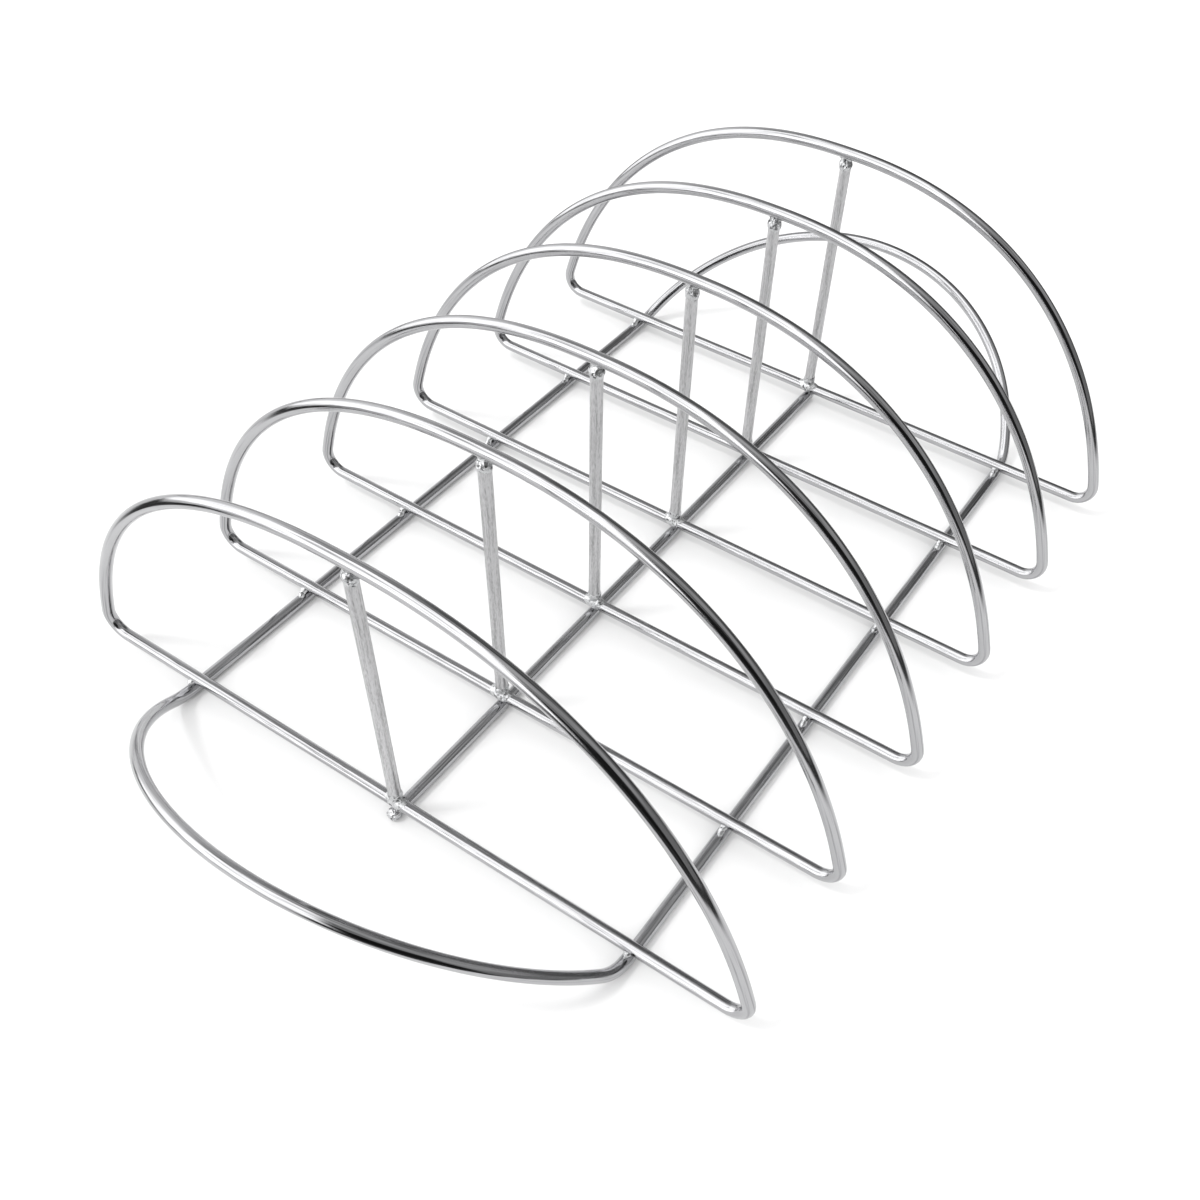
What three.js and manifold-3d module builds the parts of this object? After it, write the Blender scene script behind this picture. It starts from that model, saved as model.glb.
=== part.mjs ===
// Welded wire toast rack: a row of closed D-shaped hoops stands across two long rails and a centre wire,
// and the rails run on past the end hoops into an upswept carrying bow at each end.
// Millimetres. +X to the right, +Y along the rails towards the back, +Z up.
// The origin is on the table under the middle of the rack.

import * as THREE from "three";
import { mergeVertices } from "three/addons/utils/BufferGeometryUtils.js";
import Module from "manifold-3d";

// ---- Driving dimensions ----

const wireDiameter = 2.5; // every wire is cut from one gauge
const wireSides = 8; // flats of a wire's section, one of them facing straight down
const seatGap = 0.25; // clearance where one wire crosses another, filled by the weld

const hoopCount = 6;
const hoopPitch = 32; // from one hoop to the next, along the rails
const archHeight = 61.6; // from the axis of a hoop's base wire up to the axis of its crown
const archHalfWidth = 81.4; // half width of the full arch curve at the level of its own centre
const archCentreDrop = 38.2; // how far that centre lies below the base wire, which makes the legs lean in
const archSquareness = 2.3; // exponent of the arch curve: 2 is an ellipse, more has squarer shoulders
const cornerRadius = 4; // bend between a leg and the base wire, on the wire's axis

const railSpacing = 106; // between the axes of the two rails
const railOverhang = 4.4; // from the last hoop to the fold where the bow turns upwards
const bowReach = 40; // from that fold to the tip of the bow, measured up its slope
const bowTilt = THREE.MathUtils.degToRad(40); // slope of the bow above the table
const foldLength = 4; // length of wire used up on each side of the fold

const centreWireOverhang = 2.4; // bare end of the centre wire beyond each end hoop
const uprightStandoff = 0.8; // weld metal between the end of an upright and the hoop wire

const crownWeld = { width: 4.2, depth: 4.0, height: 4.0 };
const footWeld = { width: 4.8, depth: 4.2, height: 5.4 };
const railWeld = { width: 2.0, depth: 2.4, height: 1.7 };

// ---- Derived sizes and levels ----

const wireRadius = wireDiameter / 2;
const railAxisHeight = wireRadius;
const hoopBaseHeight = railAxisHeight + wireDiameter + seatGap;
const crownHeight = hoopBaseHeight + archHeight;
const rowHalfLength = ((hoopCount - 1) * hoopPitch) / 2;
const foldDistance = rowHalfLength + railOverhang;
const hoopPlaces = Array.from({ length: hoopCount }, (_, i) => i * hoopPitch - rowHalfLength);

// ---- Materials ----

const brightWire = { color: 0xc9ccce, roughness: 0.16, metalness: 1 };
const drawnWire = { color: 0xb9bbbd, roughness: 0.42, metalness: 1 };
const weldMetal = { color: 0xa7a8a8, roughness: 0.55, metalness: 1 };

const rack = new THREE.Group();

function addPiece(name, geometry, finish) {
  const mesh = new THREE.Mesh(geometry, new THREE.MeshStandardMaterial(finish));
  mesh.name = name;
  rack.add(mesh);
  return mesh;
}

// ---- Wire sections carried along a path ----

// Corner distance of a regular section whose flats are the given radius from the axis.
function cornerDistance(radius) {
  return radius / Math.cos(Math.PI / wireSides);
}

// A closed loop of wire: a regular section carried round a ring of axis points. The section's flats stay
// square to the reference direction, which no stretch of the loop may follow.
function loopOfWire(axisPoints, reference, radius) {
  const count = axisPoints.length;
  const positions = [];
  const indices = [];
  axisPoints.forEach((point, i) => {
    const before = point.clone().sub(axisPoints[(i + count - 1) % count]).normalize();
    const after = axisPoints[(i + 1) % count].clone().sub(point).normalize();
    const tangent = before.add(after).normalize();
    const across = reference.clone().addScaledVector(tangent, -reference.dot(tangent)).normalize();
    const outward = tangent.clone().cross(across);
    for (let side = 0; side < wireSides; side++) {
      const angle = ((side + 0.5) * 2 * Math.PI) / wireSides;
      const corner = point
        .clone()
        .addScaledVector(across, cornerDistance(radius) * Math.cos(angle))
        .addScaledVector(outward, cornerDistance(radius) * Math.sin(angle));
      positions.push(corner.x, corner.y, corner.z);
      const here = i * wireSides + side;
      const beside = i * wireSides + ((side + 1) % wireSides);
      const ahead = ((i + 1) % count) * wireSides + side;
      const aheadBeside = ((i + 1) % count) * wireSides + ((side + 1) % wireSides);
      indices.push(here, beside, aheadBeside, here, aheadBeside, ahead);
    }
  });
  const geometry = new THREE.BufferGeometry();
  geometry.setAttribute("position", new THREE.Float32BufferAttribute(positions, 3));
  geometry.setIndex(indices);
  return geometry;
}

// A straight wire, standing along Y until it is turned.
function straightWire(length, radius) {
  const corner = cornerDistance(radius);
  return new THREE.CylinderGeometry(corner, corner, length, wireSides, 1, false, Math.PI / wireSides);
}

// ---- Hoop outline ----

// The arch is the upper part of a superellipse whose centre lies below the base wire. This is the point of
// its right half at an angle from 0 (centre level) to a quarter turn (crown), measured from the base wire.
function archPoint(angle) {
  const x = archHalfWidth * Math.cos(angle) ** (2 / archSquareness);
  const z = (archHeight + archCentreDrop) * Math.sin(angle) ** (2 / archSquareness) - archCentreDrop;
  return new THREE.Vector2(x, z);
}

// Angle at which the arch curve passes a height above the base wire.
function archAngleAt(height) {
  const rise = (height + archCentreDrop) / (archHeight + archCentreDrop);
  return Math.asin(rise ** (archSquareness / 2));
}

// The corner bend is a circle that touches the base wire and the arch. Its centre is one corner radius up,
// and is moved in until the arch is just one corner radius away.
function cornerCentre() {
  const samples = 400;
  const lowest = archAngleAt(0);
  const highest = archAngleAt(4 * cornerRadius);
  const leg = [];
  for (let i = 0; i <= samples; i++) leg.push(archPoint(lowest + (i / samples) * (highest - lowest)));
  let inner = archPoint(lowest).x - 3 * cornerRadius;
  let outer = archPoint(lowest).x;
  for (let step = 0; step < 40; step++) {
    const trial = new THREE.Vector2((inner + outer) / 2, cornerRadius);
    const nearest = Math.min(...leg.map((point) => point.distanceTo(trial)));
    if (nearest > cornerRadius) inner = trial.x;
    else outer = trial.x;
  }
  return new THREE.Vector2(inner, cornerRadius);
}

// Axis of one hoop in its own plane, from the right end of the flat base wire round over the crown.
function hoopAxis(archSteps = 34, cornerSteps = 5) {
  const centre = cornerCentre();
  const legStart = archAngleAt(cornerRadius);
  const leaning = archPoint(legStart + 1e-3).sub(archPoint(legStart));
  const turn = leaning.angle(); // the corner turns from level through this angle
  const half = [];
  for (let i = 0; i < cornerSteps; i++) {
    const angle = -Math.PI / 2 + (i / cornerSteps) * turn;
    const spoke = new THREE.Vector2(Math.cos(angle), Math.sin(angle)).multiplyScalar(cornerRadius);
    half.push(spoke.add(centre));
  }
  const touch = new THREE.Vector2(Math.sin(turn), -Math.cos(turn)).multiplyScalar(cornerRadius).add(centre);
  const arch = [];
  const start = archAngleAt(touch.y);
  for (let i = 0; i <= 200; i++) arch.push(archPoint(start + (i / 200) * (Math.PI / 2 - start)));
  const spaced = new THREE.SplineCurve(arch).getSpacedPoints(archSteps / 2);
  half.push(...spaced);
  const mirrored = half.slice(0, -1).reverse().map((p) => new THREE.Vector2(-p.x, p.y));
  return [...half, ...mirrored];
}

const hoopOutline = hoopAxis();

function hoopWire(place, radius) {
  const axis = hoopOutline.map((p) => new THREE.Vector3(p.x, place, hoopBaseHeight + p.y));
  return loopOfWire(axis, new THREE.Vector3(0, 1, 0), radius);
}

// ---- Base frame: two rails and the bow at each end, bent from one length of wire ----

// Axis of one bow from the right rail to the left one. It is a circular arc in a plane that rises from the
// fold: the arc passes through both rails' axes at the fold and reaches its tip in the middle. Each fold is
// rounded by a cubic curve that leaves the rail level and meets the arc along its own direction.
function bowAxis(end, arcSteps = 22, foldSteps = 4) {
  const halfSpacing = railSpacing / 2;
  const arcRadius = (halfSpacing ** 2 + bowReach ** 2) / (2 * bowReach);
  const centreUp = bowReach - arcRadius;
  const place = (x, up) => {
    const out = foldDistance + up * Math.cos(bowTilt);
    return new THREE.Vector3(x, end * out, railAxisHeight + up * Math.sin(bowTilt));
  };
  const arcPoint = (angle) => place(arcRadius * Math.cos(angle), centreUp + arcRadius * Math.sin(angle));
  const arcDirection = (angle) => {
    const along = Math.cos(angle);
    return new THREE.Vector3(-Math.sin(angle), end * along * Math.cos(bowTilt), along * Math.sin(bowTilt));
  };
  const firstAngle = Math.asin(-centreUp / arcRadius) + foldLength / arcRadius;
  const railEnd = new THREE.Vector3(halfSpacing, end * (foldDistance - foldLength), railAxisHeight);
  const arcStart = arcPoint(firstAngle);
  const handle = foldLength * 0.7;
  const fold = new THREE.CubicBezierCurve3(
    railEnd,
    railEnd.clone().add(new THREE.Vector3(0, end * handle, 0)),
    arcStart.clone().addScaledVector(arcDirection(firstAngle), -handle),
    arcStart,
  ).getPoints(foldSteps);
  const sweep = Math.PI - 2 * firstAngle;
  const arc = [];
  for (let i = 1; i < arcSteps; i++) arc.push(arcPoint(firstAngle + (i / arcSteps) * sweep));
  const farFold = fold.map((p) => new THREE.Vector3(-p.x, p.y, p.z)).reverse();
  return [...fold, ...arc, ...farFold];
}

function baseFrameWire(radius) {
  const axis = [...bowAxis(1), ...bowAxis(-1).reverse()];
  return loopOfWire(axis, new THREE.Vector3(0, 0, 1), radius);
}

function centreWire(radius) {
  const length = 2 * (rowHalfLength + centreWireOverhang);
  return straightWire(length, radius).translate(0, 0, railAxisHeight);
}

// Uprights stand between the base wire and the crown of their hoop, with a little weld metal at each end.
const uprightFoot = hoopBaseHeight + wireRadius + seatGap + uprightStandoff;
const uprightHead = crownHeight - wireRadius - seatGap - uprightStandoff;

function uprightWire(place, radius, extension = 0) {
  const length = uprightHead - uprightFoot + 2 * extension;
  const wire = straightWire(length, radius).rotateX(Math.PI / 2);
  return wire.translate(0, place, (uprightHead + uprightFoot) / 2);
}

// ---- Welds: rounded beads cut back to a clearance from the wires that they join ----

const wasm = await Module();
wasm.setup();

function solidOf(geometry) {
  const bare = geometry.clone();
  bare.deleteAttribute("normal");
  bare.deleteAttribute("uv");
  const merged = mergeVertices(bare, 1e-4);
  const vertProperties = merged.getAttribute("position").array;
  const triVerts = new Uint32Array(merged.index.array);
  return new wasm.Manifold(new wasm.Mesh({ numProp: 3, vertProperties, triVerts }));
}

function geometryOf(solid) {
  const mesh = solid.getMesh();
  const geometry = new THREE.BufferGeometry();
  geometry.setAttribute("position", new THREE.BufferAttribute(new Float32Array(mesh.vertProperties), 3));
  geometry.setIndex(new THREE.BufferAttribute(new Uint32Array(mesh.triVerts), 1));
  geometry.computeVertexNormals();
  return geometry;
}

// An egg-shaped bead at a centre, less each wire that it clings to.
function weldBead(size, centre, wires) {
  const egg = new THREE.SphereGeometry(0.5, 12, 8).rotateX(Math.PI / 2);
  egg.scale(size.width, size.depth, size.height).translate(...centre);
  return geometryOf(wires.reduce((bead, wire) => bead.subtract(solidOf(wire)), solidOf(egg)));
}

const clearRadius = wireRadius + seatGap;
const clearFrame = baseFrameWire(clearRadius);
const clearCentreWire = centreWire(clearRadius);

// ---- Assembly ----

addPiece("base_frame", baseFrameWire(wireRadius), brightWire);
addPiece("centre_wire", centreWire(wireRadius), brightWire);

hoopPlaces.forEach((place, i) => {
  const number = i + 1;
  const clearHoop = hoopWire(place, clearRadius);
  const clearUpright = uprightWire(place, clearRadius, seatGap);
  addPiece(`hoop_${number}`, hoopWire(place, wireRadius), brightWire);
  addPiece(`upright_${number}`, uprightWire(place, wireRadius), drawnWire);

  const crownCentre = [0, place, uprightHead + uprightStandoff / 2];
  addPiece(`crown_weld_${number}`, weldBead(crownWeld, crownCentre, [clearHoop, clearUpright]), weldMetal);

  const footCentre = [0, place, uprightFoot - uprightStandoff];
  const footWires = [clearHoop, clearUpright, clearCentreWire];
  addPiece(`foot_weld_${number}`, weldBead(footWeld, footCentre, footWires), weldMetal);

  for (const [side, x] of [["left", -railSpacing / 2], ["right", railSpacing / 2]]) {
    const inFront = place - clearRadius - railWeld.depth / 6;
    const above = railAxisHeight + clearRadius + railWeld.height / 6;
    const bead = weldBead(railWeld, [x, inFront, above], [clearHoop, clearFrame]);
    addPiece(`rail_weld_${side}_${number}`, bead, weldMetal);
  }
});

export default rack;
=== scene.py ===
"""Finished surfaces of a welded wire toast rack, built round its CAD frame.

Six closed hoops of bright wire stand on a base frame of the same wire. A drawn upright holds up the
crown of each hoop, a centre wire ties the feet of the uprights together, and a weld sits at every joint.
All sizes are in metres, in the frame of the CAD model.
"""

import math

import bpy
import numpy as np
from mathutils import Matrix, Vector


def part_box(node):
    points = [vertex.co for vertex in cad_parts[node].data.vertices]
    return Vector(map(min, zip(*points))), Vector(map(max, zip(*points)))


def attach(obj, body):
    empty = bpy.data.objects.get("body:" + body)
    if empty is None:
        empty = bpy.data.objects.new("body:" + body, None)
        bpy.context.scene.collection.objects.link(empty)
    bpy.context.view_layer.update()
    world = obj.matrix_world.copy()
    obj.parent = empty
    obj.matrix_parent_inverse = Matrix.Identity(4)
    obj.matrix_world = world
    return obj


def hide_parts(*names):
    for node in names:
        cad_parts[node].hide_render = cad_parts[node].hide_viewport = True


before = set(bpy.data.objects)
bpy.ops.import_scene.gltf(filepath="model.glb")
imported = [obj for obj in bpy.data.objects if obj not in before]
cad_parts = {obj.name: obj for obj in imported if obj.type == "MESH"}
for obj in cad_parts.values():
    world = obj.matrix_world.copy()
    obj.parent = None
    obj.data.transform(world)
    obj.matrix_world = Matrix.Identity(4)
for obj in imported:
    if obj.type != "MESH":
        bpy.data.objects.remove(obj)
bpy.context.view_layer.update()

bl_info = {
    "name": "Wire toast rack",
    "version": (1, 0, 0),
    "blender": (4, 5, 0),
    "location": "3D View > Sidebar > Toast Rack",
    "description": "Builds the wires, welds and studio of a welded wire toast rack",
    "category": "Add Mesh",
}

MM = 0.001
SIDES = ("left", "right")
HOOP_NUMBERS = range(1, 7)

# ---- Sizes taken from the CAD frame ----


def centre_of(node):
    low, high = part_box(node)
    return (np.array(low) + np.array(high)) / 2


def size_of(node):
    low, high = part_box(node)
    return np.array(high) - np.array(low)


HOOP_PLACES = [float(centre_of(f"hoop_{n}")[1]) for n in HOOP_NUMBERS]
WIRE_DIAMETER = 2.5 * MM
HOOP_TOP = float(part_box("hoop_1")[1][2])
RAIL_SPACING = float(size_of("base_frame")[0]) - WIRE_DIAMETER
CENTRE_WIRE_LENGTH = float(size_of("centre_wire")[1])
# How much shorter each end of the centre wire is, where a melted drop takes its room.
BURNT_BACK = 0.7 * MM

# ---- Sizes of the finished pieces ----

# Steps along a wire from one ring of its section to the next.
BENT_WIRE_STEP = 0.85 * MM
UPRIGHT_STEP = 0.4 * MM
CENTRE_WIRE_STEP = 0.35 * MM

# The section is a little under the gauge, so that it stays inside the CAD wire, and the die marks take a few
# thousandths of the radius off it. Their pitch is in radii, and along the wire they are drawn out.
SECTION_SCALE = 0.99
DIE_MARK_DEPTH = 0.0032
DIE_MARK_PITCH = 0.8
DIE_MARK_DRAWN_OUT = 0.012
# Length of the rounded end of a cut wire, in radii.
CAP_LENGTH = 0.55

# Width, depth and height of each kind of bead.
CROWN_BEAD = np.array((4.4, 3.4, 3.3)) * MM
FOOT_BEAD = np.array((4.8, 4.0, 4.8)) * MM
DROP_BEAD = np.array((4.0, 2.6, 4.0)) * MM
RAIL_BEAD = np.array((2.2, 2.5, 2.1)) * MM
# How thick each lies over its wires at the middle.
CROWN_SKIN = 0.42 * MM
FOOT_SKIN = 0.45 * MM
DROP_SKIN = 0.3 * MM
RAIL_SKIN = 0.7 * MM
# How far the middle of a bead lies below the head or the foot of its upright.
CROWN_BEAD_DROP = 0.15 * MM
FOOT_BEAD_DROP = 1.0 * MM
# How far a bead may wander from that place, in each direction.
CROWN_WANDER = (0.25, 0.15, 0.1)
FOOT_WANDER = (0.35, 0.15, 0.1)
# A wire that ends inside a bead is taken as this much shorter and thinner, in radii, where the bead wets it.
WETTED_INSET = 0.4
WETTED_THINNING = 0.9
# Half lengths of the stretches of hoop and rail that a bead wets.
WETTED_BASE = 0.03
WETTED_CROWN = 0.01
WETTED_CROSSING = 0.02
WETTED_RAIL = 0.08

# Where the random draws of each kind of piece start. The number of the piece is added.
HOOP_SEED = 100
UPRIGHT_SEED = 200
BASE_FRAME_SEED = 300
CENTRE_WIRE_SEED = 301
WANDER_SEED = 400
CROWN_SEED = 500
FOOT_SEED = 600
DROP_SEED = 650
RAIL_SEED = 700


# ---- Colours ----


def linear(hex_colour):
    """Linear red, green and blue of an sRGB hex colour, by the sRGB transfer curve."""
    srgb = [int(hex_colour[i : i + 2], 16) / 255 for i in (1, 3, 5)]
    return tuple(c / 12.92 if c <= 0.04045 else ((c + 0.055) / 1.055) ** 2.4 for c in srgb)


# ---- Properties ----


def length(name, description, default):
    return bpy.props.FloatProperty(
        name=name, description=description, default=default, min=0, unit="LENGTH", precision=5
    )


def colour(name, description, hex_colour):
    return bpy.props.FloatVectorProperty(
        name=name, description=description, default=linear(hex_colour), subtype="COLOR", min=0, max=1
    )


class RackSizes(bpy.types.PropertyGroup):
    """Sizes of the wires and how they are bent"""

    wire_diameter: length("Wire diameter", "Gauge of every wire", WIRE_DIAMETER)
    seat_gap: length("Seat gap", "Clearance where one wire crosses another", 0.25 * MM)
    arch_half_width: length("Arch half width", "Half width of the arch curve at its own centre", 81.4 * MM)
    arch_drop: length("Arch centre drop", "How far that centre lies below the base wire", 38.2 * MM)
    arch_squareness: bpy.props.FloatProperty(
        name="Arch squareness",
        description="Exponent of the arch curve, 2 for an ellipse",
        default=2.3,
        min=1,
    )
    corner_radius: length("Corner radius", "Bend between a leg and the base wire", 4 * MM)
    rail_spacing: length("Rail spacing", "Between the axes of the two rails", RAIL_SPACING)
    rail_overhang: length("Rail overhang", "From the last hoop to the fold of the bow", 4.4 * MM)
    bow_reach: length("Bow reach", "From the fold to the tip of the bow, up its slope", 40 * MM)
    bow_tilt: bpy.props.FloatProperty(
        name="Bow tilt",
        description="Slope of the bow above the table",
        default=math.radians(40),
        subtype="ANGLE",
    )
    fold_length: length("Fold length", "Wire used up on each side of the fold", 4 * MM)


class RackFinishes(bpy.types.PropertyGroup):
    """Colours and polish of the metals"""

    bright_colour: colour("Bright wire", "Colour of the polished wire", "#C0C0C2")
    bright_roughness: bpy.props.FloatProperty(
        name="Bright roughness",
        description="Blur of the polished wire",
        default=0.10,
        min=0,
        max=1,
        subtype="FACTOR",
    )
    drawn_colour: colour("Drawn wire", "Colour of the satin uprights", "#D2D2D3")
    drawn_roughness: bpy.props.FloatProperty(
        name="Drawn roughness",
        description="Blur of the satin uprights",
        default=0.35,
        min=0,
        max=1,
        subtype="FACTOR",
    )
    weld_colour: colour("Weld metal", "Colour of the weld beads", "#D4D5D6")
    weld_roughness: bpy.props.FloatProperty(
        name="Weld roughness",
        description="Blur of the weld beads",
        default=0.38,
        min=0,
        max=1,
        subtype="FACTOR",
    )


class RackStudio(bpy.types.PropertyGroup):
    """Camera, floor and light"""

    camera_place: bpy.props.FloatVectorProperty(
        name="Camera place",
        description="Where the camera stands",
        default=(0.1049, -0.1669, 0.1927),
        subtype="XYZ",
        unit="LENGTH",
    )
    azimuth: bpy.props.FloatProperty(
        name="Azimuth",
        description="Turn of the camera round the rack",
        default=math.radians(30.52),
        subtype="ANGLE",
    )
    elevation: bpy.props.FloatProperty(
        name="Elevation",
        description="Height angle of the camera",
        default=math.radians(50.27),
        subtype="ANGLE",
    )
    roll: bpy.props.FloatProperty(
        name="Roll",
        description="Tilt of the camera about its own axis",
        default=math.radians(3.91),
        subtype="ANGLE",
    )
    lens: bpy.props.FloatProperty(
        name="Lens", description="Focal length for a 36 mm sensor", default=36.45, min=1, unit="CAMERA"
    )
    floor_colour: colour("Floor", "Colour of the floor", "#E8E8E8")
    key_strength: bpy.props.FloatProperty(
        name="Key strength", description="Strength of the soft key light", default=0.82, min=0
    )
    fill_strength: bpy.props.FloatProperty(
        name="Fill strength", description="Strength of the even light from all sides", default=1.27, min=0
    )


# ---- Shapes ----


def lumps(points, pitch, seed, waves=40):
    """Smooth random relief of about one unit: the sum of many plane waves, each a sine of the position
    along its own random direction, with a wavelength near the pitch."""
    random = np.random.default_rng(seed)
    directions = random.normal(size=(3, waves))
    directions /= np.linalg.norm(directions, axis=0)
    wavelengths = pitch * random.uniform(0.7, 1.5, waves)
    phases = random.uniform(0, 2 * np.pi, waves)
    return np.sin(points @ (directions * (2 * np.pi / wavelengths)) + phases).sum(-1) * math.sqrt(2 / waves)


def unit(vectors):
    return vectors / np.linalg.norm(vectors, axis=-1, keepdims=True)


def grid_faces(rows, columns, rows_close):
    """Four corners of every face of a grid whose columns run round and close on themselves."""
    row = np.arange(rows if rows_close else rows - 1)[:, None]
    column = np.arange(columns)[None, :]
    ahead, beside = (row + 1) % rows, (column + 1) % columns
    here, there = row * columns, ahead * columns
    corners = (here + column, here + beside, there + beside, there + column)
    return np.stack(corners, -1).reshape(-1, 4)


def mesh_piece(name, vertices, faces, wire_place=None):
    """A smooth piece of quads and, at a pole, triangles given as quads with their last corner repeated."""
    mesh = bpy.data.meshes.new(name)
    triangle = faces[:, 3] == faces[:, 2]
    counts = np.where(triangle, 3, 4)
    starts = np.concatenate(([0], np.cumsum(counts)[:-1]))
    keep = np.ones_like(faces, dtype=bool)
    keep[:, 3] = ~triangle
    mesh.vertices.add(len(vertices))
    mesh.vertices.foreach_set("co", vertices.astype(np.float32).ravel())
    mesh.loops.add(int(counts.sum()))
    mesh.loops.foreach_set("vertex_index", faces[keep].astype(np.int32))
    mesh.polygons.add(len(faces))
    mesh.polygons.foreach_set("loop_start", starts.astype(np.int32))
    mesh.polygons.foreach_set("use_smooth", np.ones(len(faces), dtype=bool))
    if wire_place is not None:
        mesh.attributes.new("wire_place", "FLOAT_VECTOR", "POINT").data.foreach_set(
            "vector", wire_place.astype(np.float32).ravel()
        )
    mesh.update(calc_edges=True)
    mesh.validate()
    piece = bpy.data.objects.new(name, mesh)
    bpy.context.scene.collection.objects.link(piece)
    return piece


def wire(name, axis, reference, radius, seed, closed=True, round_sides=48):
    """A round section carried along the points of an axis. A point of the surface is the axis point plus
    the radius times (across * cos a + outward * sin a), where across is the reference made square to the
    axis and outward is square to both. Shallow marks from the drawing die run along the wire: the radius
    falls by a few thousandths, by an amount that depends on the angle and changes slowly along the wire.
    An open wire ends in a rounded cap, a quarter circle of rings that shrink to a pole."""
    if closed:
        tangent = unit(np.roll(axis, -1, 0) - np.roll(axis, 1, 0))
        steps = np.linalg.norm(axis - np.roll(axis, 1, 0), axis=1)
        steps[0] = 0
    else:
        tangent = unit(np.gradient(axis, axis=0))
        steps = np.linalg.norm(np.diff(axis, axis=0, prepend=axis[:1]), axis=1)
    run = np.cumsum(steps)
    across = unit(reference - (tangent @ reference)[:, None] * tangent)
    outward = np.cross(tangent, across)
    angle = np.arange(round_sides) * 2 * np.pi / round_sides
    ring = np.stack((np.cos(angle), np.sin(angle)), -1)
    rings = np.broadcast_to(ring, (len(axis), round_sides, 2))
    runs = np.broadcast_to(run[:, None, None], (len(axis), round_sides, 1))
    place = np.concatenate((rings, runs), -1)
    place[..., :2] *= radius
    die_marks = lumps(place * (1, 1, DIE_MARK_DRAWN_OUT), DIE_MARK_PITCH * radius, seed)
    section = radius * (SECTION_SCALE - DIE_MARK_DEPTH * np.clip(die_marks, -1.5, 1.5))
    if not closed:
        reach = np.minimum(run, run[-1] - run)
        cap = np.clip(reach / (CAP_LENGTH * radius), 0, 1)
        section = section * np.sqrt(np.maximum(1 - (1 - cap)[:, None] ** 2, 1e-6))
    surface = axis[:, None] + section[..., None] * (
        across[:, None] * np.cos(angle)[None, :, None] + outward[:, None] * np.sin(angle)[None, :, None]
    )
    faces = grid_faces(len(axis), round_sides, closed)
    vertices = surface.reshape(-1, 3)
    places = place.reshape(-1, 3) / MM
    if not closed:
        ring_index = np.arange(round_sides)
        beside = (ring_index + 1) % round_sides
        last = (len(axis) - 1) * round_sides
        poles = len(vertices)
        near = np.stack((np.full(round_sides, poles), beside, ring_index, ring_index), -1)
        far = np.stack((np.full(round_sides, poles + 1), last + ring_index, last + beside, last + beside), -1)
        faces = np.concatenate((faces, near, far))
        vertices = np.concatenate((vertices, axis[[0, -1]]))
        places = np.concatenate((places, [[0, 0, 0], [0, 0, run[-1] / MM]]))
    return mesh_piece(name, vertices, faces, places)


def evenly(points, spacing):
    """The points of a path moved to equal steps along it, with both ends kept."""
    run = np.concatenate(([0], np.cumsum(np.linalg.norm(np.diff(points, axis=0), axis=1))))
    stops = np.linspace(0, run[-1], max(2, round(run[-1] / spacing) + 1))
    return np.stack([np.interp(stops, run, points[:, k]) for k in range(points.shape[1])], -1)


def arch_outline(sizes):
    """Axis of a hoop in its own plane, width and height above its base wire, once round from the middle
    of the base. The arch is a superellipse whose centre lies below the base wire:
    x = half width * cos(a)^(2/n), z = (height + drop) * sin(a)^(2/n) - drop. Each lower corner is a circle
    that touches the base wire and the arch."""
    height = HOOP_TOP - sizes.wire_diameter / 2 - base_height(sizes)
    power = 2 / sizes.arch_squareness
    radius = sizes.corner_radius

    def arch(angle):
        return np.stack(
            (
                sizes.arch_half_width * np.cos(angle) ** power,
                (height + sizes.arch_drop) * np.sin(angle) ** power - sizes.arch_drop,
            ),
            -1,
        )

    def angle_at(level):
        return math.asin(((level + sizes.arch_drop) / (height + sizes.arch_drop)) ** (1 / power))

    leg = arch(np.linspace(angle_at(0), angle_at(4 * radius), 4000))
    inner, outer = leg[0, 0] - 3 * radius, leg[0, 0]
    for _ in range(50):
        middle = (inner + outer) / 2
        if np.linalg.norm(leg - (middle, radius), axis=1).min() > radius:
            inner = middle
        else:
            outer = middle
    centre = np.array((inner, radius))
    touch = leg[np.linalg.norm(leg - centre, axis=1).argmin()]
    turn = math.atan2(*(touch - centre)[::-1])
    bend = np.linspace(-math.pi / 2, turn, 60)
    corner = centre + radius * np.stack((np.cos(bend), np.sin(bend)), -1)
    side = arch(np.linspace(angle_at(touch[1]), math.pi / 2, 4000))
    base = np.array(((0.0, 0.0), (inner, 0.0)))
    half = np.concatenate((base, corner[1:-1], side))
    return np.concatenate((half, (half[:-1] * (-1, 1))[::-1]))


def base_height(sizes):
    """Height of the axis of a hoop's base wire above the table."""
    return 1.5 * sizes.wire_diameter + sizes.seat_gap


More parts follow.
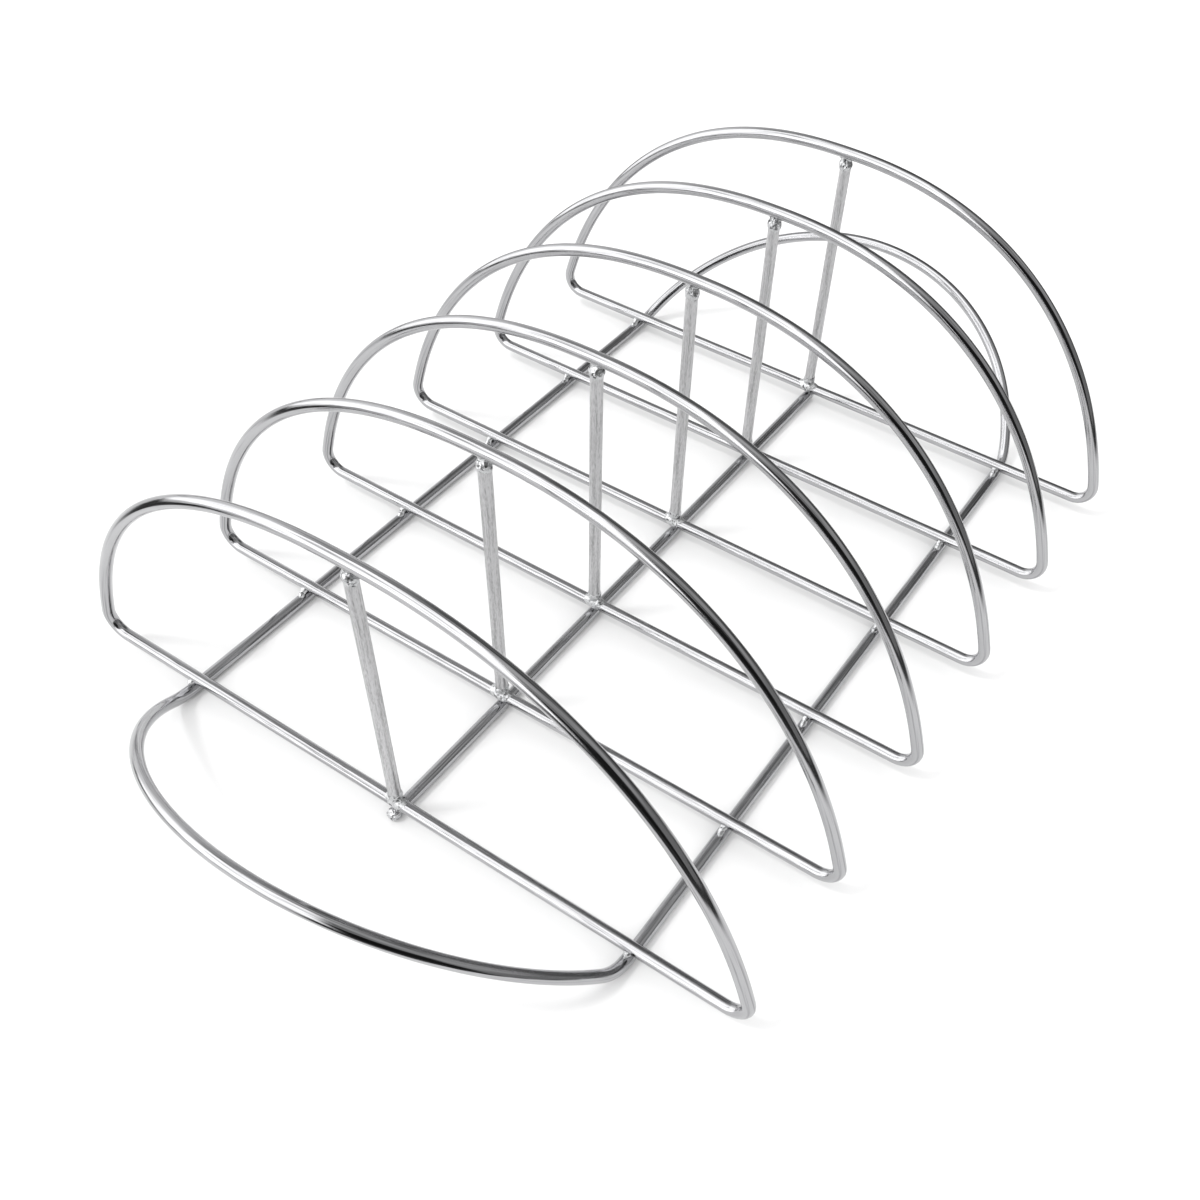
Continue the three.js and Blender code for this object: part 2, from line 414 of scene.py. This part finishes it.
def frame_outline(sizes):
    """Axis of the base frame, once round from the back end of the right rail. Each bow is a circular arc
    in a plane that rises from the fold, through both rails' axes and out to the tip. Each fold is a cubic
    curve that leaves the rail level and meets the arc along its own direction."""
    half = sizes.rail_spacing / 2
    arc_radius = (half**2 + sizes.bow_reach**2) / (2 * sizes.bow_reach)
    centre_up = sizes.bow_reach - arc_radius
    fold_place = HOOP_PLACES[-1] + sizes.rail_overhang
    rise, out = math.sin(sizes.bow_tilt), math.cos(sizes.bow_tilt)
    level = sizes.wire_diameter / 2
    first = math.asin(-centre_up / arc_radius) + sizes.fold_length / arc_radius
    angle = np.linspace(first, math.pi - first, 1200)
    up = centre_up + arc_radius * np.sin(angle)
    arc = np.stack((arc_radius * np.cos(angle), fold_place + up * out, level + up * rise), -1)
    direction = np.array((-math.sin(first), math.cos(first) * out, math.cos(first) * rise))
    start = np.array((half, fold_place - sizes.fold_length, level))
    handle = 0.7 * sizes.fold_length
    knots = np.array((start, start + (0, handle, 0), arc[0] - handle * direction, arc[0]))
    t = np.linspace(0, 1, 80)[:, None]
    weights = ((1 - t) ** 3, 3 * t * (1 - t) ** 2, 3 * t**2 * (1 - t), t**3)
    fold = sum(weight * knot for weight, knot in zip(weights, knots))
    bow = np.concatenate((fold, arc[1:], (fold * (-1, 1, 1))[::-1][1:]))
    return np.concatenate((bow, (bow * (1, -1, 1))[::-1], bow[:1]))


def wire_distance(points, wires):
    """Distance from each point to the surface of the nearest straight wire, negative inside, with the
    crotches between wires filled: -k * log(sum(exp(-distance / k)))."""
    blend = 0.28 * MM
    total = 0
    for start, end, radius in wires:
        start, end = np.array(start), np.array(end)
        along = np.clip(((points - start) @ (end - start)) / ((end - start) @ (end - start)), 0, 1)
        gap = np.linalg.norm(points - start - along[..., None] * (end - start), axis=-1) - radius
        total = total + np.exp(-np.clip(gap / blend, -60, 60))
    return -blend * np.log(total)


def weld(name, centre, size, wires, skin, seed, pores=3, rows=88, columns=120):
    """A bead of weld metal that wets the wires it joins. Along each direction from the centre, the surface
    lies where the distance to the wires equals skin * (1 - q^2), with q the distance from the centre in
    units of the bead's half size: thick in the middle, running out thin over the wires. Lumps, grains and
    a few round pores are then pressed into it."""
    random = np.random.default_rng(seed)
    polar = np.linspace(0, np.pi, rows + 2)[1:-1, None]
    turn = np.arange(columns)[None, :] * 2 * np.pi / columns
    ring = np.stack(
        (np.sin(polar) * np.cos(turn), np.sin(polar) * np.sin(turn), np.cos(polar) + 0 * turn), -1
    )
    directions = np.concatenate((ring.reshape(-1, 3), [[0, 0, 1], [0, 0, -1]]))
    inner = np.zeros(len(directions))
    outer = np.full(len(directions), 1.4 * max(size))
    for _ in range(36):
        middle = (inner + outer) / 2
        points = centre + directions * middle[:, None]
        inside = wire_distance(points, wires) < skin * (
            1 - (((points - centre) / (np.array(size) / 2)) ** 2).sum(-1)
        )
        inner, outer = np.where(inside, middle, inner), np.where(inside, outer, middle)
    points = centre + directions * inner[:, None]
    broad = 0.055 * MM * lumps(points, 1.3 * MM, seed + 1)
    fine = 0.032 * MM * np.abs(lumps(points, 0.75 * MM, seed + 2))
    reach = inner + (broad + fine)
    # Each pore is a round pit with a low rim, and most of them face the front.
    for _ in range(pores):
        pore = unit(random.normal(size=3) * (1, 1, 0.5) + (0.35, -0.8, 0.25))
        spread = random.uniform(0.13, 0.24)
        away = np.arccos(np.clip(directions @ pore, -1, 1)) / spread
        pit = random.uniform(0.25, 0.5) * MM * np.exp(-(away**4))
        rim = 0.05 * MM * np.exp(-((away - 1.5) ** 2) * 6)
        reach -= pit - rim
    points = centre + directions * np.maximum(reach, 0.1 * MM)[:, None]
    points[:, 2] = np.maximum(points[:, 2], 0.02 * MM)
    count = rows * columns
    column = np.arange(columns)
    beside = (column + 1) % columns
    last = (rows - 1) * columns
    top = np.stack((np.full(columns, count), column, beside, beside), -1)
    bottom = np.stack((np.full(columns, count + 1), last + beside, last + column, last + column), -1)
    faces = np.concatenate((grid_faces(rows, columns, False)[:, ::-1], top, bottom))
    return mesh_piece(name, points, faces)


# ---- Finishes ----


def add(tree, kind, links=None, **settings):
    """Adds a node, with values or links for its inputs by name or number, and its own settings."""
    node = tree.nodes.new(kind)
    for key, value in settings.items():
        setattr(node, key, value)
    for key, value in (links or {}).items():
        socket = node.inputs[key]
        if isinstance(value, bpy.types.NodeSocket):
            tree.links.new(value, socket)
        else:
            socket.default_value = value
    return node


def window(tree, value, low, high, soft):
    """One between low and high and nothing outside, with edges eased over the softness to each side."""
    rise, fall = (
        add(
            tree,
            "ShaderNodeMapRange",
            {0: value, 1: start, 2: end, 3: 0.0, 4: 1.0},
            interpolation_type="SMOOTHSTEP",
        ).outputs[0]
        for start, end in ((low - soft, low + soft), (high + soft, high - soft))
    )
    return add(tree, "ShaderNodeMath", {0: rise, 1: fall}, operation="MULTIPLY").outputs[0]


def new_material(name):
    material = bpy.data.materials.new(name)
    material.use_nodes = True
    tree = material.node_tree
    tree.nodes.clear()
    return material, tree


def finish_with(tree, settings):
    surface = add(tree, "ShaderNodeBsdfPrincipled", settings)
    add(tree, "ShaderNodeOutputMaterial", {"Surface": surface.outputs["BSDF"]})


# Brightness, as a share of the clean metal, where the polish is thin, in a die line (painted shade) and in a
# scratch.
THIN_POLISH = 0.92
PAINTED_DIE_LINE_SHADE = 0.6
SCRATCH = 0.6
# Share of the short scratches in the grain of the drawn wire.
SHORT_SCRATCHES = 0.42


def polished_wire_steel():
    """Stainless steel wire, drawn and then electropolished. It mirrors the room in long bands, and the die
    leaves fine lengthwise lines that break the bands into streaks: grooves in the bump, with painted shade
    darkening their colour. Pattern coordinates are millimetres round and along the wire."""
    finishes = bpy.context.scene.rack_finishes
    material, tree = new_material("polished_wire_steel")
    place = add(tree, "ShaderNodeAttribute", attribute_name="wire_place").outputs["Vector"]
    # Die lines 0.25 mm apart and tens of millimetres long.
    lines = add(tree, "ShaderNodeMapping", {"Vector": place, "Scale": (2.4, 2.4, 0.035)}).outputs["Vector"]
    streak = add(tree, "ShaderNodeTexNoise", {"Vector": lines, "Scale": 1.0, "Detail": 3.0, "Roughness": 0.6})
    # Patches a few millimetres long where the polish is a little thinner.
    patches = add(tree, "ShaderNodeMapping", {"Vector": place, "Scale": (0.5, 0.5, 0.12)}).outputs["Vector"]
    cloud = add(
        tree, "ShaderNodeTexNoise", {"Vector": patches, "Scale": 1.0, "Detail": 4.0, "Roughness": 0.55}
    )
    blur = add(
        tree,
        "ShaderNodeMapRange",
        {
            0: streak.outputs["Fac"],
            1: 0.3,
            2: 0.75,
            3: finishes.bright_roughness * 0.7,
            4: finishes.bright_roughness * 1.6,
        },
    )
    tone = add(tree, "ShaderNodeMapRange", {0: cloud.outputs["Fac"], 1: 0.3, 2: 0.7, 3: 0.0, 4: 1.0})
    bright = (*finishes.bright_colour, 1)
    dull = (*(c * THIN_POLISH for c in finishes.bright_colour), 1)
    clean = add(tree, "ShaderNodeMix", {0: tone.outputs[0], 6: dull, 7: bright}, data_type="RGBA")
    # The deepest die lines are grooves in the bump, and their darker colour is painted shade for dark reflected
    # lines.
    painted_line_shade = (*(c * PAINTED_DIE_LINE_SHADE for c in finishes.bright_colour), 1)
    mask = add(tree, "ShaderNodeMapRange", {0: streak.outputs["Fac"], 1: 0.36, 2: 0.47, 3: 0.0, 4: 1.0})
    base = add(tree, "ShaderNodeMix", {0: mask.outputs[0], 6: painted_line_shade, 7: clean.outputs[2]}, data_type="RGBA")
    relief = add(
        tree, "ShaderNodeBump", {"Strength": 1.0, "Distance": 0.042 * MM, "Height": streak.outputs["Fac"]}
    )
    finish_with(
        tree,
        {
            "Base Color": base.outputs[2],
            "Metallic": 1.0,
            "Roughness": blur.outputs[0],
            "Normal": relief.outputs["Normal"],
        },
    )
    return material


def satin_drawn_steel():
    """Stainless steel wire left as it was drawn. Close lengthwise scratches spread the light, so it looks
    pale and even, with faint darker lines."""
    finishes = bpy.context.scene.rack_finishes
    material, tree = new_material("satin_drawn_steel")
    place = add(tree, "ShaderNodeAttribute", attribute_name="wire_place").outputs["Vector"]
    # Long scratches 0.3 mm apart, and between them short ones a millimetre long.
    scratches = add(tree, "ShaderNodeMapping", {"Vector": place, "Scale": (3.2, 3.2, 0.09)}).outputs["Vector"]
    long = add(
        tree, "ShaderNodeTexNoise", {"Vector": scratches, "Scale": 1.0, "Detail": 5.0, "Roughness": 0.7}
    )
    dashes = add(tree, "ShaderNodeMapping", {"Vector": place, "Scale": (4.5, 4.5, 0.9)}).outputs["Vector"]
    short = add(tree, "ShaderNodeTexNoise", {"Vector": dashes, "Scale": 1.0, "Detail": 3.0, "Roughness": 0.6})
    grain = add(
        tree,
        "ShaderNodeMix",
        {0: SHORT_SCRATCHES, 2: long.outputs["Fac"], 3: short.outputs["Fac"]},
        data_type="FLOAT",
    )
    speckle = add(
        tree, "ShaderNodeTexNoise", {"Vector": place, "Scale": 2.2, "Detail": 3.0, "Roughness": 0.6}
    )
    blur = add(
        tree,
        "ShaderNodeMapRange",
        {
            0: speckle.outputs["Fac"],
            1: 0.3,
            2: 0.7,
            3: finishes.drawn_roughness * 0.85,
            4: finishes.drawn_roughness * 1.2,
        },
    )
    tone = add(tree, "ShaderNodeMapRange", {0: grain.outputs[0], 1: 0.38, 2: 0.54, 3: 0.0, 4: 1.0})
    bright = (*finishes.drawn_colour, 1)
    dull = (*(c * SCRATCH for c in finishes.drawn_colour), 1)
    base = add(tree, "ShaderNodeMix", {0: tone.outputs[0], 6: dull, 7: bright}, data_type="RGBA")
    relief = add(tree, "ShaderNodeBump", {"Strength": 1.0, "Distance": 0.06 * MM, "Height": grain.outputs[0]})
    finish_with(
        tree,
        {
            "Base Color": base.outputs[2],
            "Metallic": 1.0,
            "Roughness": blur.outputs[0],
            "Normal": relief.outputs["Normal"],
        },
    )
    return material


def frozen_weld_steel():
    """Steel that melted and froze in a bead. It glints from small grains and has dark specks of scale in its
    hollows. Pattern coordinates are metres in the object, so the scales are per metre."""
    finishes = bpy.context.scene.rack_finishes
    material, tree = new_material("frozen_weld_steel")
    place = add(tree, "ShaderNodeTexCoord").outputs["Object"]
    # Grains 0.5 mm across.
    grains = add(tree, "ShaderNodeTexVoronoi", {"Vector": place, "Scale": 2000.0, "Randomness": 1.0})
    specks = add(tree, "ShaderNodeTexNoise", {"Vector": place, "Scale": 1300.0, "Detail": 3.0, "Roughness": 0.6})
    scale_mask = add(
        tree, "ShaderNodeMapRange", {0: specks.outputs["Fac"], 1: 0.54, 2: 0.66, 3: 0.0, 4: 1.0}
    )
    clean = (*finishes.weld_colour, 1)
    scale = (*linear("#505052"), 1)
    base = add(tree, "ShaderNodeMix", {0: scale_mask.outputs[0], 6: clean, 7: scale}, data_type="RGBA")
    blur = add(
        tree,
        "ShaderNodeMapRange",
        {
            0: specks.outputs["Fac"],
            1: 0.35,
            2: 0.65,
            3: finishes.weld_roughness * 0.6,
            4: finishes.weld_roughness * 1.4,
        },
    )
    relief = add(
        tree, "ShaderNodeBump", {"Strength": 1.0, "Distance": 0.05 * MM, "Height": grains.outputs["Distance"]}
    )
    finish_with(
        tree,
        {
            "Base Color": base.outputs[2],
            "Metallic": 1.0,
            "Roughness": blur.outputs[0],
            "Normal": relief.outputs["Normal"],
        },
    )
    return material


def finish_named(name, maker):
    """A finish is made once and shared by every piece that has it."""
    return bpy.data.materials.get(name) or maker()


def settle(piece, node, material):
    """Gives a piece its finish, and puts it in the place of its CAD node."""
    piece.data.materials.append(material)
    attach(piece, "root")
    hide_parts(node)


# ---- Operators ----


class RackPiece:
    """Shared settings of the operators"""

    bl_options = {"REGISTER", "UNDO"}


class RACK_OT_hoops(RackPiece, bpy.types.Operator):
    """Bend the six closed hoops of bright wire"""

    bl_idname = "rack.hoops"
    bl_label = "Hoops"

    def execute(self, context):
        sizes = context.scene.rack_sizes
        steel = finish_named("polished_wire_steel", polished_wire_steel)
        outline = evenly(arch_outline(sizes), BENT_WIRE_STEP)[:-1]
        for number, place in zip(HOOP_NUMBERS, HOOP_PLACES):
            axis = np.stack(
                (outline[:, 0], np.full(len(outline), place), base_height(sizes) + outline[:, 1]), -1
            )
            hoop = wire(
                f"hoop_{number}_wire",
                axis,
                np.array((0, 1, 0)),
                sizes.wire_diameter / 2,
                HOOP_SEED + number,
            )
            settle(hoop, f"hoop_{number}", steel)
        return {"FINISHED"}


class RACK_OT_uprights(RackPiece, bpy.types.Operator):
    """Cut the six uprights from satin drawn wire"""

    bl_idname = "rack.uprights"
    bl_label = "Uprights"

    def execute(self, context):
        sizes = context.scene.rack_sizes
        steel = finish_named("satin_drawn_steel", satin_drawn_steel)
        for number, place in zip(HOOP_NUMBERS, HOOP_PLACES):
            low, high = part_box(f"upright_{number}")
            ends = np.array(((0, place, low[2]), (0, place, high[2])))
            axis = evenly(ends, UPRIGHT_STEP)
            piece = wire(
                f"upright_{number}_wire",
                axis,
                np.array((0, 1, 0)),
                sizes.wire_diameter / 2,
                UPRIGHT_SEED + number,
                closed=False,
            )
            settle(piece, f"upright_{number}", steel)
        return {"FINISHED"}


class RACK_OT_base_wires(RackPiece, bpy.types.Operator):
    """Bend the base frame with its two bows, and lay the centre wire"""

    bl_idname = "rack.base_wires"
    bl_label = "Base wires"

    def execute(self, context):
        sizes = context.scene.rack_sizes
        steel = finish_named("polished_wire_steel", polished_wire_steel)
        radius = sizes.wire_diameter / 2
        outline = evenly(frame_outline(sizes), BENT_WIRE_STEP)[:-1]
        base = wire("base_frame_wire", outline, np.array((0, 0, 1)), radius, BASE_FRAME_SEED)
        settle(base, "base_frame", steel)
        half = CENTRE_WIRE_LENGTH / 2 - BURNT_BACK
        axis = evenly(np.array(((0, -half, radius), (0, half, radius))), CENTRE_WIRE_STEP)
        centre = wire(
            "centre_wire_rod", axis, np.array((0, 0, 1)), radius, CENTRE_WIRE_SEED, closed=False
        )
        settle(centre, "centre_wire", steel)
        return {"FINISHED"}


class RACK_OT_welds(RackPiece, bpy.types.Operator):
    """Run the weld beads at the crowns, the feet and the rails"""

    bl_idname = "rack.welds"
    bl_label = "Welds"

    def execute(self, context):
        sizes = context.scene.rack_sizes
        steel = finish_named("frozen_weld_steel", frozen_weld_steel)
        radius = sizes.wire_diameter / 2
        base = base_height(sizes)
        crown = HOOP_TOP - radius
        for number, place in zip(HOOP_NUMBERS, HOOP_PLACES):
            low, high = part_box(f"upright_{number}")
            inset = WETTED_INSET * radius
            upright = ((0, place, low[2] + inset), (0, place, high[2] - inset), radius)
            hoop_base = ((-WETTED_BASE, place, base), (WETTED_BASE, place, base), radius)
            hoop_crown = ((-WETTED_CROWN, place, crown), (WETTED_CROWN, place, crown), radius)
            half = CENTRE_WIRE_LENGTH / 2 - BURNT_BACK - inset
            centre_wire = ((0, -half, radius), (0, half, radius), WETTED_THINNING * radius)
            shift = np.random.default_rng(WANDER_SEED + number).uniform(-1, 1, 6) * MM

            bead = weld(
                f"crown_weld_{number}_bead",
                np.array((0, place, high[2] - CROWN_BEAD_DROP)) + shift[:3] * CROWN_WANDER,
                CROWN_BEAD,
                (upright, hoop_crown),
                CROWN_SKIN,
                CROWN_SEED + number,
            )
            settle(bead, f"crown_weld_{number}", steel)

            bead = weld(
                f"foot_weld_{number}_bead",
                np.array((0, place, low[2] - FOOT_BEAD_DROP)) + shift[3:] * FOOT_WANDER,
                FOOT_BEAD,
                (upright, hoop_base, centre_wire),
                FOOT_SKIN,
                FOOT_SEED + number,
            )
            settle(bead, f"foot_weld_{number}", steel)
            if number in (HOOP_NUMBERS[0], HOOP_NUMBERS[-1]):
                tip = math.copysign(CENTRE_WIRE_LENGTH / 2 - 2 * BURNT_BACK, place)
                bead = weld(
                    f"foot_weld_{number}_drop",
                    np.array((0, tip, radius)),
                    DROP_BEAD,
                    (centre_wire,),
                    DROP_SKIN,
                    DROP_SEED + number,
                    pores=7,
                )
                settle(bead, f"foot_weld_{number}", steel)

            for side, x in zip(SIDES, (-sizes.rail_spacing / 2, sizes.rail_spacing / 2)):
                node = f"rail_weld_{side}_{number}"
                rail = ((x, -WETTED_RAIL, radius), (x, WETTED_RAIL, radius), radius)
                crossing = ((x - WETTED_CROSSING, place, base), (x + WETTED_CROSSING, place, base), radius)
                bead = weld(
                    f"{node}_bead",
                    centre_of(node),
                    RAIL_BEAD,
                    (crossing, rail),
                    RAIL_SKIN,
                    RAIL_SEED + 2 * number + (side == "right"),
                    pores=1,
                    rows=48,
                    columns=64,
                )
                settle(bead, node, steel)
        return {"FINISHED"}


def direction_to(azimuth, elevation):
    """Unit vector towards a place in the room. Azimuth is measured from the front towards +X."""
    level = math.cos(elevation)
    return Vector((math.sin(azimuth) * level, -math.cos(azimuth) * level, math.sin(elevation)))


def studio_world():
    """The room that the metal mirrors, as brightness by direction. Azimuth is measured from the front
    towards +X. Large soft lights stand in front, left and above, a dark doorway is at the front right, and
    the room is dim to the right and behind. Only mirrored rays see it: matt surfaces are lit by an even fill,
    and straight rays to the camera see a plain white backdrop."""
    world = bpy.data.worlds.new("studio")
    bpy.context.scene.world = world
    world.use_nodes = True
    tree = world.node_tree
    tree.nodes.clear()
    direction = add(tree, "ShaderNodeTexCoord").outputs["Generated"]
    axes = add(tree, "ShaderNodeSeparateXYZ", {0: direction}).outputs

    front = add(tree, "ShaderNodeMath", {0: axes["Y"], 1: -1.0}, operation="MULTIPLY").outputs[0]
    turn = add(tree, "ShaderNodeMath", {0: axes["X"], 1: front}, operation="ARCTAN2").outputs[0]
    azimuth = add(tree, "ShaderNodeMath", {0: turn}, operation="DEGREES").outputs[0]
    rise = add(tree, "ShaderNodeMath", {0: axes["Z"]}, operation="ARCSINE").outputs[0]
    elevation = add(tree, "ShaderNodeMath", {0: rise}, operation="DEGREES").outputs[0]
    level = ROOM_LEVEL
    for az_low, az_high, az_soft, el_low, el_high, el_soft, brightness in ROOM:
        beside = window(tree, azimuth, az_low, az_high, az_soft)
        above = window(tree, elevation, el_low, el_high, el_soft)
        mask = add(tree, "ShaderNodeMath", {0: beside, 1: above}, operation="MULTIPLY").outputs[0]
        level = add(tree, "ShaderNodeMix", {0: mask, 2: level, 3: brightness}, data_type="FLOAT").outputs[0]
    strength = add(tree, "ShaderNodeMath", {0: level, 1: ROOM_STRENGTH}, operation="MULTIPLY").outputs[0]
    room = add(tree, "ShaderNodeBackground", {"Strength": strength})
    fill = add(tree, "ShaderNodeBackground", {"Strength": bpy.context.scene.rack_studio.fill_strength})
    backdrop = add(tree, "ShaderNodeBackground", {"Strength": 1.0})
    for background in (room, fill, backdrop):
        background.inputs["Color"].default_value = (1, 1, 1, 1)
    rays = add(tree, "ShaderNodeLightPath").outputs
    lit = add(
        tree, "ShaderNodeMixShader", {0: rays["Is Diffuse Ray"], 1: room.outputs[0], 2: fill.outputs[0]}
    )
    seen = add(
        tree, "ShaderNodeMixShader", {0: rays["Is Camera Ray"], 1: lit.outputs[0], 2: backdrop.outputs[0]}
    )
    add(tree, "ShaderNodeOutputWorld", {"Surface": seen.outputs[0]})


def white_sheet(rgb):
    """Matt white paper. Mirrored rays see a painted reflection: its colour is painted dark a hand's breadth from
    the rack, as if the sheet lay on a dark bench, and a little darker all over, though the camera sees plain
    white paper run on to the horizon."""
    material, tree = new_material("white_sheet")
    axes = add(tree, "ShaderNodeSeparateXYZ", {0: add(tree, "ShaderNodeTexCoord").outputs["Object"]}).outputs
    shade = 0.0
    for x_low, x_high, y_low, y_high, soft, darkness in MIRRORED_SHADE_PATCHES:
        across = window(tree, axes["X"], x_low, x_high, soft)
        along = window(tree, axes["Y"], y_low, y_high, soft)
        strip = add(tree, "ShaderNodeMath", {0: across, 1: darkness}, operation="MULTIPLY").outputs[0]
        mask = add(tree, "ShaderNodeMath", {0: strip, 1: along}, operation="MULTIPLY").outputs[0]
        shade = add(tree, "ShaderNodeMath", {0: shade, 1: mask}, operation="MAXIMUM").outputs[0]
    # Only glossy rays see this painted shade; the camera and diffuse light see the plain paper colour.
    mirrored = add(tree, "ShaderNodeLightPath").outputs["Is Glossy Ray"]
    shade = add(tree, "ShaderNodeMath", {0: shade, 1: mirrored}, operation="MULTIPLY").outputs[0]
    paper = add(tree, "ShaderNodeMix", {0: shade, 6: (*rgb, 1), 7: MIRRORED_SHADE_COLOUR}, data_type="RGBA")
    finish_with(tree, {"Base Color": paper.outputs[2], "Roughness": 0.9, "Specular IOR Level": 0.0})
    return material


# Linear colour painted into the floor, for mirrored rays only, where the painted reflection is darkest.
MIRRORED_SHADE_COLOUR = (0.03, 0.03, 0.03, 1)
# Painted shade seen in mirrors, as of a dark bench: from, to in X, from, to in Y, softness, all in metres, and
# how dark.
MIRRORED_SHADE_PATCHES = (
    (-4, 4, -4, 4, 0.01, 0.12),
    (-4, -0.113, -0.205, -0.103, 0.016, 1.0),
    (-0.002, 4, -4, -0.152, 0.02, 1.0),
    (0.19, 4, -4, 4, 0.08, 1.0),
    (-4, -0.165, -4, 4, 0.06, 0.3),
    (-4, 4, 0.20, 4, 0.05, 0.9),
)

ROOM_STRENGTH = 1.06
ROOM_LEVEL = 0.3
# Parts of the room, each laid over the ones before: from, to and softness in azimuth, the same in elevation,
# all in degrees, and brightness. They are judged from the highlights of the metal.
ROOM = (
    (-400, 400, 1, 66, 400, 8, 0.6),
    (70, 150, 12, 26, 58, 8, 0.42),
    (75, 135, 12, -90, 26, 8, 0.22),
    (135, 400, 12, -90, 30, 10, 0.09),
    (150, 400, 10, 24, 62, 10, 0.16),
    (-400, -152, 8, -90, 62, 10, 0.13),
    (-135, -112, 8, 20, 62, 14, 0.45),
    (-152, -112, 8, -90, 28, 8, 0.7),
    (-120, -85, 9, -6, 42, 8, 1.0),
    (-94, 12, 7, -6, 400, 4, 1.95),
    (-80, 12, 9, 58, 78, 6, 1.9),
    (-60, 6, 8, -6, 30, 5, 2.3),
    (-62, -36, 5, 38, 49, 4, 0.85),
    (-40, -10, 6, 44, 53, 4, 1.2),
    (8, 68, 6, -90, 44, 6, 0.015),
)


FLOOR_HALF = 3
# Where the key light stands and how wide it is in the sky, in degrees.
KEY_AZIMUTH = -47
KEY_ELEVATION = 57
KEY_WIDTH = 10
SENSOR_WIDTH = 36
# How far the picture is shifted on the sensor, in sensor widths.
SHIFT_X = -0.0428
SHIFT_Y = 0.0836
NEAREST = 0.01
FARTHEST = 20


class RACK_OT_stage(RackPiece, bpy.types.Operator):
    """Set the floor, the lights and the camera"""

    bl_idname = "rack.stage"
    bl_label = "Stage"

    def execute(self, context):
        studio = context.scene.rack_studio
        corners = np.array(((-1, -1, 0), (1, -1, 0), (1, 1, 0), (-1, 1, 0))) * FLOOR_HALF
        floor = self.plate("floor", corners)
        floor.data.materials.append(white_sheet(studio.floor_colour))
        studio_world()
        self.key_light(studio)
        self.camera(studio)
        context.scene.view_settings.view_transform = "Standard"
        return {"FINISHED"}

    @staticmethod
    def plate(name, corners):
        mesh = bpy.data.meshes.new(name)
        mesh.from_pydata(corners.tolist(), [], [(0, 1, 2, 3)])
        plate = bpy.data.objects.new(name, mesh)
        bpy.context.scene.collection.objects.link(plate)
        return plate

    @staticmethod
    def key_light(studio):
        """A large soft light high at the front left, as wide in the sky as the lamp's angle."""
        lamp = bpy.data.lights.new("key_light", "SUN")
        lamp.energy, lamp.angle = studio.key_strength, math.radians(KEY_WIDTH)
        light = bpy.data.objects.new("key_light", lamp)
        toward = direction_to(math.radians(KEY_AZIMUTH), math.radians(KEY_ELEVATION))
        light.rotation_euler = toward.to_track_quat("Z", "Y").to_euler()
        light.visible_glossy = False
        bpy.context.scene.collection.objects.link(light)

    @staticmethod
    def camera(studio):
        roll = studio.roll
        back = direction_to(studio.azimuth, studio.elevation)
        right = Vector((math.cos(studio.azimuth), math.sin(studio.azimuth), 0))
        up = back.cross(right)
        tilted_right = math.cos(roll) * right + math.sin(roll) * up
        tilted_up = math.cos(roll) * up - math.sin(roll) * right
        lens = bpy.data.cameras.new("camera")
        lens.lens, lens.sensor_width = studio.lens, SENSOR_WIDTH
        lens.shift_x, lens.shift_y = SHIFT_X, SHIFT_Y
        lens.clip_start, lens.clip_end = NEAREST, FARTHEST
        camera = bpy.data.objects.new("camera", lens)
        turn = Matrix((tilted_right, tilted_up, back)).transposed().to_4x4()
        camera.matrix_world = Matrix.Translation(Vector(studio.camera_place)) @ turn
        bpy.context.scene.collection.objects.link(camera)
        bpy.context.scene.camera = camera


class RACK_PT_toast_rack(bpy.types.Panel):
    """Lists the pieces of the toast rack and its stage"""

    bl_idname = "RACK_PT_toast_rack"
    bl_label = "Toast Rack"
    bl_space_type = "VIEW_3D"
    bl_region_type = "UI"
    bl_category = "Toast Rack"

    def draw(self, context):
        for step in STEPS:
            self.layout.operator(step.bl_idname)
        for group in GROUPS:
            settings = getattr(context.scene, group)
            for key in settings.bl_rna.properties.keys():
                if key not in ("rna_type", "name"):
                    self.layout.prop(settings, key)


STEPS = (RACK_OT_hoops, RACK_OT_uprights, RACK_OT_base_wires, RACK_OT_welds, RACK_OT_stage)
GROUPS = {"rack_sizes": RackSizes, "rack_finishes": RackFinishes, "rack_studio": RackStudio}


def register():
    for kind in (*GROUPS.values(), *STEPS, RACK_PT_toast_rack):
        bpy.utils.register_class(kind)
    for name, kind in GROUPS.items():
        setattr(bpy.types.Scene, name, bpy.props.PointerProperty(type=kind))


def unregister():
    for name in GROUPS:
        delattr(bpy.types.Scene, name)
    for kind in (RACK_PT_toast_rack, *reversed(STEPS), *reversed(GROUPS.values())):
        bpy.utils.unregister_class(kind)


def main():
    register()
    bpy.ops.rack.hoops()
    bpy.ops.rack.uprights()
    bpy.ops.rack.base_wires()
    bpy.ops.rack.welds()
    bpy.ops.rack.stage()


if __name__ == "__main__":
    main()
